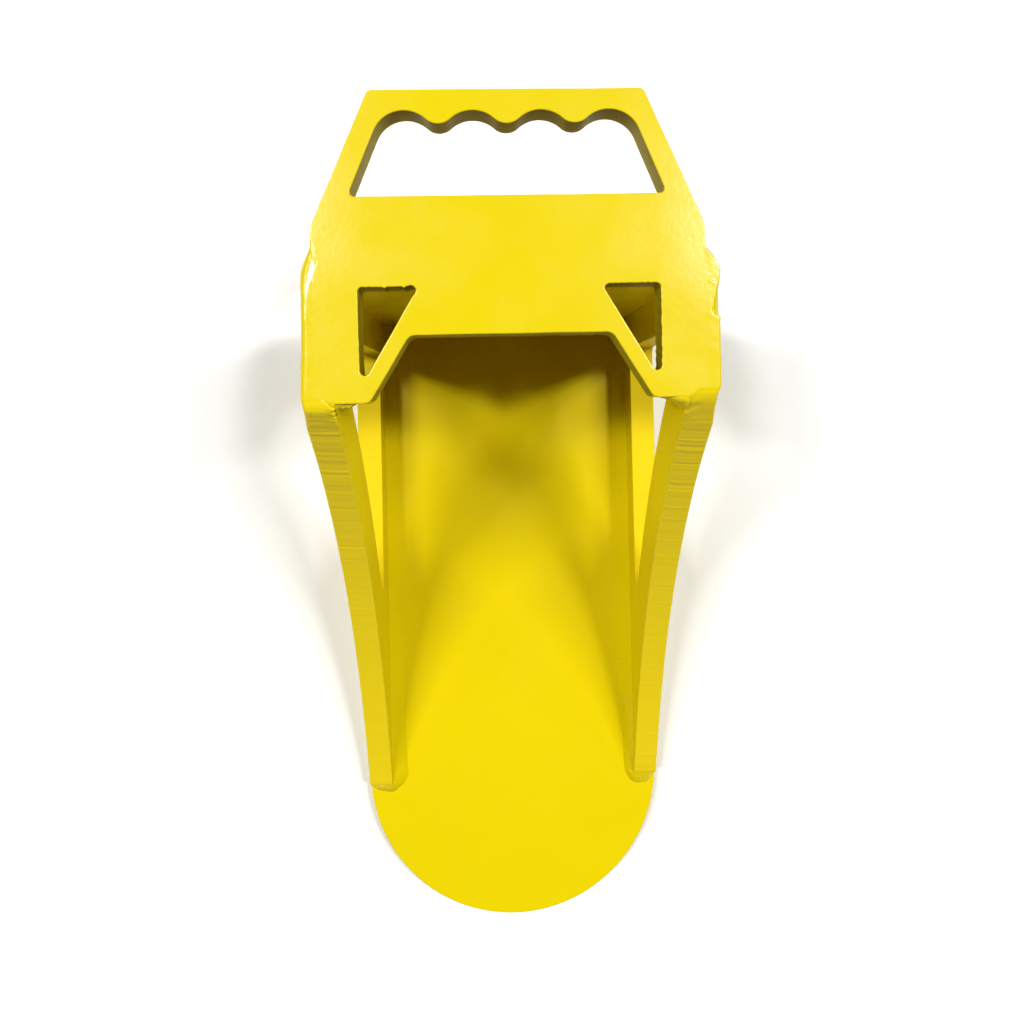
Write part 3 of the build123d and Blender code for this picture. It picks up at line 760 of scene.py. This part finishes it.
# ------------------------------------------------------------------ front corner welds
# They carry the arm's front edge up and over on to the top plate in one dressed curve. Toward the
# pocket the curve starts later, along a slanted line, so that the tab's own corner stays whole.
for side, word in ((-1, "left"), (1, "right")):
    f_lo, f_hi = mm_box("top_front_weld_" + word)
    arm_y = f_lo[1]
    in_r = 0.7
    out_r = 1.5 if side < 0 else 0.95
    fc = front_cut[side]
    xs = []
    for a in np.linspace(math.pi / 2, 0, 6):
        xs.append((inner_x - 0.25 + in_r * (1 - math.sin(a)), 1 - math.cos(a), 0.0))
    xs = sorted(xs)
    flat_x = np.arange(inner_x - 0.25 + in_r + 0.15, outer_x - out_r - 0.1, 0.2)
    cols = [(x, c, 0.0, 0.0) for x, c, _ in xs] + [(x, 0.0, 0.0, 0.0) for x in flat_x]
    cols += [(None, 0.0, math.sin(a), 1 - math.cos(a)) for a in np.linspace(0, math.pi / 2, 9)]
    rings, dulls = [], []
    for x, lip, sn, cs in cols:
        toward = (1 - step(x, inner_x - 0.3, slant_x + 0.4)) if x is not None else 0.0
        late = (fc + 0.3) * toward
        p0 = np.array([tab_y + fc + 0.4 - late, top_z + 0.012])
        p1 = np.array([tab_y - (1.8 if side < 0 else 0.1 + 0.7 * toward), top_z + 0.012])
        fall = np.array([arm_y, arm_z]) - p1
        fall = fall / np.hypot(*fall)
        p2 = p1 + fall * (2.6 if side < 0 else 5.0)
        p3 = np.array([arm_y, arm_z]) + fall * 1.6 - np.array([-fall[1], fall[0]]) * 0.02
        prof = [p0 + (0.02, -0.03)]
        for f in np.linspace(0, 1, 21):
            prof.append((1 - f) ** 2 * p0 + 2 * f * (1 - f) * p1 + f * f * p2)
        for f in np.linspace(0, 1, 46)[1:]:
            prof.append(p2 + (p3 - p2) * f)
        prof = np.array(prof)
        tang = np.gradient(prof, axis=0)
        tang[0] = (-1, 0)
        tang /= np.hypot(tang[:, 0], tang[:, 1])[:, None]
        norm = np.stack([tang[:, 1], -tang[:, 0]], 1)      # away from the metal: forward and up
        gap = np.hypot(*np.diff(prof, axis=0).T)
        s = np.concatenate([[0], np.cumsum(gap)])
        skin = len(prof)
        low = step(s, s[-1] - 9.0, s[-1] - 0.5)
        round_r = out_r * (1 - low) + 0.45 * low
        # the outer edge is dressed back a little round the bend
        if side < 0:
            trim = np.interp(s, [0, 2, 5, 11, 15.5], [0.05, 0.45, 0.75, 0.4, 0.0])
        else:
            trim = np.interp(s, [0, 3, 8, 14, 17], [0.1, 0.9, 0.9, 0.45, 0.2])
        if x is None:
            px = outer_x - trim - round_r * (1 - sn)
            lift = -round_r * cs
        else:
            px = x - trim * step(x, outer_x - 4.5, outer_x - 1.5)
            lift = np.zeros(skin) - in_r * lip * step(s, 1.0, 3.5)
        body = step(s, 1.5, 4.5) * (1 - step(s, s[-1] - 2.2, s[-1] - 0.4))
        lift = lift + body * (0.05 * rough2(px, s, 2.1, 71 + side) + 0.035 * rough2(px, s, 0.9, 72 + side))
        # drag lines down the face, as on the arm's own front edge, with a few deep ones
        face = body * step(s, 5.0, 7.5)
        ss = s + 0.05 * px + 0.12 * rough(px, 5, 79)
        lift = lift + 0.05 * face * rough(ss, 1.1, 74 + side) + 0.035 * face * rough(ss, 2.0, 75 + side)
        for c, w, h in ((3.4, 0.22, 0.12), (5.0, 0.2, 0.1), (7.6, 0.24, 0.3), (9.4, 0.2, 0.1), (11.0, 0.2, 0.14), (12.6, 0.2, 0.1), (14.0, 0.22, 0.2)) if side < 0 else (
                (5.0, 0.2, 0.13), (6.3, 0.2, 0.1), (7.6, 0.2, 0.12), (9.3, 0.2, 0.1), (11.4, 0.2, 0.14), (13.8, 0.2, 0.1)):
            lift = lift - h * body * np.exp(-((ss - 3.0 - c) / w) ** 2) * (0.55 + 0.45 * rough(px + c, 3.0, 76))
        if side < 0:
            # an unfused crack where the weld meets the tab's corner
            c0, c1 = np.array([slant_x, 0.4]), np.array([inner_x + 0.2, 1.5])
            u = c1 - c0
            k = np.clip(((px - c0[0]) * u[0] + (s - c0[1]) * u[1]) / (u @ u), 0, 1)
            d = np.hypot(px - c0[0] - k * u[0], s - c0[1] - k * u[1])
            lift = lift - 0.7 * np.exp(-(d / 0.3) ** 2) * (0.35 + 0.65 * k)
            # lumps and pits down the inner edge
            for cx, cs_, r, h in ((-0.1, 3.4, 0.5, -0.6), (0.3, 4.6, 0.5, 0.3), (0.1, 6.0, 0.6, -0.7), (0.9, 6.6, 0.7, -0.25),
                                  (0.0, 8.6, 0.6, 0.3), (0.1, 9.8, 0.45, -0.4), (0.0, 11.5, 0.6, 0.2)):
                lift = lift + h * np.exp(-(((px - inner_x - cx) / (1.2 * r)) ** 2 + ((s - cs_) / r) ** 2))
        else:
            for cx, cs_, r, h in ((0.3, 5.2, 1.0, -0.5), (1.8, 4.2, 1.1, 0.2), (3.6, 5.0, 1.2, 0.15), (0.2, 9.0, 0.8, 0.25),
                                  (2.6, 7.4, 0.9, -0.18)):
                lift = lift + h * np.exp(-(((px - inner_x - cx) / (1.3 * r)) ** 2 + ((s - cs_) / r) ** 2))
        py = prof[:, 0] + norm[:, 0] * lift
        pz = prof[:, 1] + norm[:, 1] * lift
        ring = [(side * a, b_, c_) for a, b_, c_ in zip(px, py, pz)]
        bx = side * float(px[-1])
        ring += [(bx, p3[0] + 1.2, p3[1] - 0.2), (bx, p0[0], arm_z - 0.5)]
        rings.append(ring)
        dulls.append(s[:-1] > 1.0)
    g = np.array(rings)
    o = sweep(f"top_front_{word}_bead", g, skin, weld_paint, flip=side > 0, level=2, second=cut_paint, dull=np.array(dulls))
    stand_in(o, "top_front_weld_" + word)

# ------------------------------------------------------------------ welds under the top plate
for side, word in ((-1, "left"), (1, "right")):
    i_lo, i_hi = mm_box("top_inner_weld_" + word)
    leg = i_hi[2] - i_lo[2]
    y = np.arange(tab_y - 0.1, i_hi[1] + 0.5, 0.3)
    t = (y - y[0]) / (y[-1] - y[0])
    ends = np.sqrt(np.clip(1 - np.abs(2 * t - 1) ** 14, 0.004, 1))
    lump = 1.15 + 0.22 * rough(y, 1.5, 81 + side) + 0.12 * rough(y, 0.8, 83 + side)
    corner = np.stack([np.full_like(y, side * inner_x), y, np.full_like(y, arm_z)], 1)
    o = fillet_bead(f"top_inner_{word}_bead", y, corner, leg * ends * lump, leg * ends * lump, (0, 0, -1), (-side, 0, 0),
                    weld_paint, bulge=0.8, ripple=0.14, pitch=2.2, seed=85 + side, flip=side > 0)
    stand_in(o, "top_inner_weld_" + word)

# where those two welds turn round the end of the tab, on to its front face
for side, word in ((-1, "left"), (1, "right")):
    if side < 0:
        reach = [(-0.4, 2.3), (0.6, 2.2), (1.6, 1.6), (2.2, 1.9), (3.2, 1.2), (4.0, 1.3), (4.8, 0.8), (5.4, 0.2)]
        crown, foot_z = [(-0.4, 0.4), (5.4, 1.6)], [(2.2, arm_z - 2.4), (3.4, arm_z + 0.2)]
    else:
        reach = [(-0.4, 4.6), (0.6, 3.9), (1.6, 3.2), (2.6, 2.4), (4.2, 1.3), (6.0, 0.6), (6.8, 0.15)]
        crown, foot_z = [(-0.4, 0.15), (3.0, 0.15), (6.8, 1.6)], [(2.2, arm_z - 2.4), (3.4, arm_z + 0.2)]
    d = np.arange(-0.4, reach[-1][0] + 0.01, 0.16)
    rings = []
    for v in d:
        out = np.interp(v, *zip(*reach))
        z1 = top_z - np.interp(v, *zip(*crown))
        z2 = np.interp(v, *zip(*foot_z))
        dip = min((2.6 if side < 0 else 2.4) * out, 0.85 * (z1 - z2))
        pts = []
        for a in np.linspace(0, math.pi / 2, 16):
            pts.append((tab_y + 0.3 - (out + 0.3) * math.sin(a), z1 - dip * (1 - math.cos(a))))
        for f in np.linspace(0, 1, 14)[1:]:
            pts.append((tab_y - out * (1 - 0.5 * f * f), z1 - dip + (z2 - z1 + dip) * f))
        skin = len(pts)
        pts += [(tab_y + 0.5, z2), (tab_y + 0.5, z1 - 0.1)]
        rings.append([(side * (inner_x - v), py, pz) for py, pz in pts])
    g = np.array(rings)
    away = np.zeros(g.shape[1])
    away[2:skin - 1] = 1
    away[2:5] = (0.3, 0.6, 0.9)
    hump = 0.42 * rough2(g[:, :, 0], g[:, :, 2] + 0.5 * g[:, :, 1], 2.0, 87 + side) + 0.24 * rough2(g[:, :, 0], g[:, :, 2], 1.0, 89 + side)
    if side > 0:
        hump = 0.35 * hump
        gx, gy = np.abs(g[:, :, 0]), g[:, :, 1]
        c0, c1 = np.array([47.2, tab_y - 0.2]), np.array([50.6, tab_y - 3.4])
        u = c1 - c0
        k = np.clip(((gx - c0[0]) * u[0] + (gy - c0[1]) * u[1]) / (u @ u), 0, 1)
        hump = hump - 0.55 * np.exp(-(np.hypot(gx - c0[0] - k * u[0], gy - c0[1] - k * u[1]) / 0.3) ** 2)
    g[:, :, 1] -= 0.8 * hump * away
    g[:, :, 2] += 0.6 * hump * away
    o = sweep(f"tab_end_{word}_bead", g, skin, cut_paint, flip=side < 0)
    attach(o, "root")


# ------------------------------------------------------------------ rear welds
def seam_bead(name, start, along_dir, across, out, length, width, height, seed, flip):
    s = np.arange(0, length + 0.2, 0.45)
    t = s / s[-1]
    ends = np.sqrt(np.clip(1 - np.abs(2 * t - 1) ** 40, 0.004, 1))
    w = width / 2 * (1 + 0.06 * rough(s, 5, seed) + 0.03 * rough(s, 2, seed + 1)) * ends
    h = height * (1 + 0.1 * rough(s, 7, seed + 2)) * ends
    v = np.linspace(-1, 1, 19)
    hump = np.sqrt(np.clip(1 - v ** 2, 0, 1))
    phase = s[:, None] / 2.4 + 0.55 * (v ** 2)[None] + 0.2 * rough(s[:, None], 9, seed + 3)
    saw = phase % 1.0
    crest = np.where(saw < 0.78, saw / 0.78, (1 - saw) / 0.22)
    z = h[:, None] * hump[None] * (0.86 + 0.2 * crest) - 0.15 * (1 - hump[None])
    start, a, c, n = (np.array(k, float) for k in (start, along_dir, across, out))
    skin = start + s[:, None, None] * a + (w[:, None] * v[None])[..., None] * c + z[..., None] * n
    foot = start + s[:, None, None] * a + (w[:, None] * np.array([0.9, -0.9])[None])[..., None] * c - 0.5 * n
    return sweep(name, np.concatenate([skin, foot], axis=1), skin.shape[1], weld_paint, flip)


for side, word in ((-1, "left"), (1, "right")):
    s_lo, s_hi = mm_box("rear_seam_weld_" + word)
    o = seam_bead(f"rear_seam_{word}_bead", ((s_lo[0] + s_hi[0]) / 2, rear_y, s_lo[2]), (0, 0, 1), (1, 0, 0), (0, 1, 0),
                  s_hi[2] - s_lo[2], s_hi[0] - s_lo[0], s_hi[1] - s_lo[1], 101 + side, False)
    stand_in(o, "rear_seam_weld_" + word)
s_lo, s_hi = mm_box("rear_toe_weld")
o = seam_bead("rear_toe_bead", (s_lo[0], rear_y, (s_lo[2] + s_hi[2]) / 2), (1, 0, 0), (0, 0, 1), (0, 1, 0),
              s_hi[0] - s_lo[0], s_hi[2] - s_lo[2], s_hi[1] - s_lo[1], 111, True)
stand_in(o, "rear_toe_weld")
r_lo, r_hi = mm_box("rear_top_weld")
leg = r_hi[1] - r_lo[1]
x = np.arange(r_lo[0], r_hi[0], 0.5)
t = (x - x[0]) / (x[-1] - x[0])
ends = np.sqrt(np.clip(1 - np.abs(2 * t - 1) ** 50, 0.004, 1))
corner = np.stack([x, np.full_like(x, rear_y), np.full_like(x, arm_z)], 1)
lump = 1 + 0.05 * rough(x, 6, 121)
o = fillet_bead("rear_top_bead", x, corner, leg * ends * lump, leg * ends * lump, (0, 0, -1), (0, 1, 0), weld_paint,
                bulge=0.5, ripple=0.12, pitch=2.6, seed=123, flip=True)
stand_in(o, "rear_top_weld")

# ------------------------------------------------------------------ stage and light
scene = bpy.context.scene
scene.view_settings.view_transform = "Standard"
world = bpy.data.worlds.new("studio")
scene.world = world
world.use_nodes = True
# white behind the floor's edge, but next to no light from there
glow = world.node_tree.nodes["Background"]
glow.inputs[0].default_value = (1, 1, 1, 1)
path = world.node_tree.nodes.new("ShaderNodeLightPath")
level = world.node_tree.nodes.new("ShaderNodeMapRange")
level.inputs["To Min"].default_value = 0.003
level.inputs["To Max"].default_value = 1.0
world.node_tree.links.new(path.outputs["Is Camera Ray"], level.inputs["Value"])
world.node_tree.links.new(level.outputs["Result"], glow.inputs[1])

bpy.ops.mesh.primitive_plane_add(size=6, location=(0, 0, floor_z * MM))
floor = bpy.context.object
floor.name = "floor"
fm = bpy.data.materials.new("floor")
fm.use_nodes = True
fb = fm.node_tree.nodes["Principled BSDF"]
fb.inputs["Base Color"].default_value = (0.93, 0.93, 0.93, 1)
fb.inputs["Roughness"].default_value = 0.8
floor.data.materials.append(fm)


def area(name, loc, target, size, size_y, power):
    d = bpy.data.lights.new(name, "AREA")
    d.shape = "RECTANGLE"
    d.size = size
    d.size_y = size_y
    d.energy = power
    o = bpy.data.objects.new(name, d)
    o.location = loc
    o.rotation_euler = (Vector(target) - Vector(loc)).to_track_quat("-Z", "Y").to_euler()
    scene.collection.objects.link(o)
    return o


def beam(name, tilt, turn, away, wide, tall, power):
    """A soft light `away` metres from the part, `tilt` from overhead, `turn` round from +X."""
    t, a = math.radians(tilt), math.radians(turn)
    d = Vector((math.sin(t) * math.cos(a), math.sin(t) * math.sin(a), math.cos(t)))
    return area(name, Vector((0, 0, 0.05)) + d * away, (0, 0, 0.05), wide, tall, power)


AWAY = 9.0
POWER = 0.96 * (AWAY / 5.0) ** 2
beam("rear_left", 22.0, 144, AWAY, 0.95, 1.1, 78 * POWER)
beam("side_left", 31.5, 157, AWAY, 0.62, 1.9, 104 * POWER)
beam("low_left", 54.0, 162, AWAY, 0.62, 2.0, 20 * POWER)
beam("rear_right", 22.7, 32, AWAY, 0.8, 0.9, 87 * POWER)
beam("side_right", 32.6, 23, AWAY, 0.62, 2.3, 97 * POWER)
beam("low_right", 58.0, 18, AWAY, 0.62, 1.8, 22 * POWER)
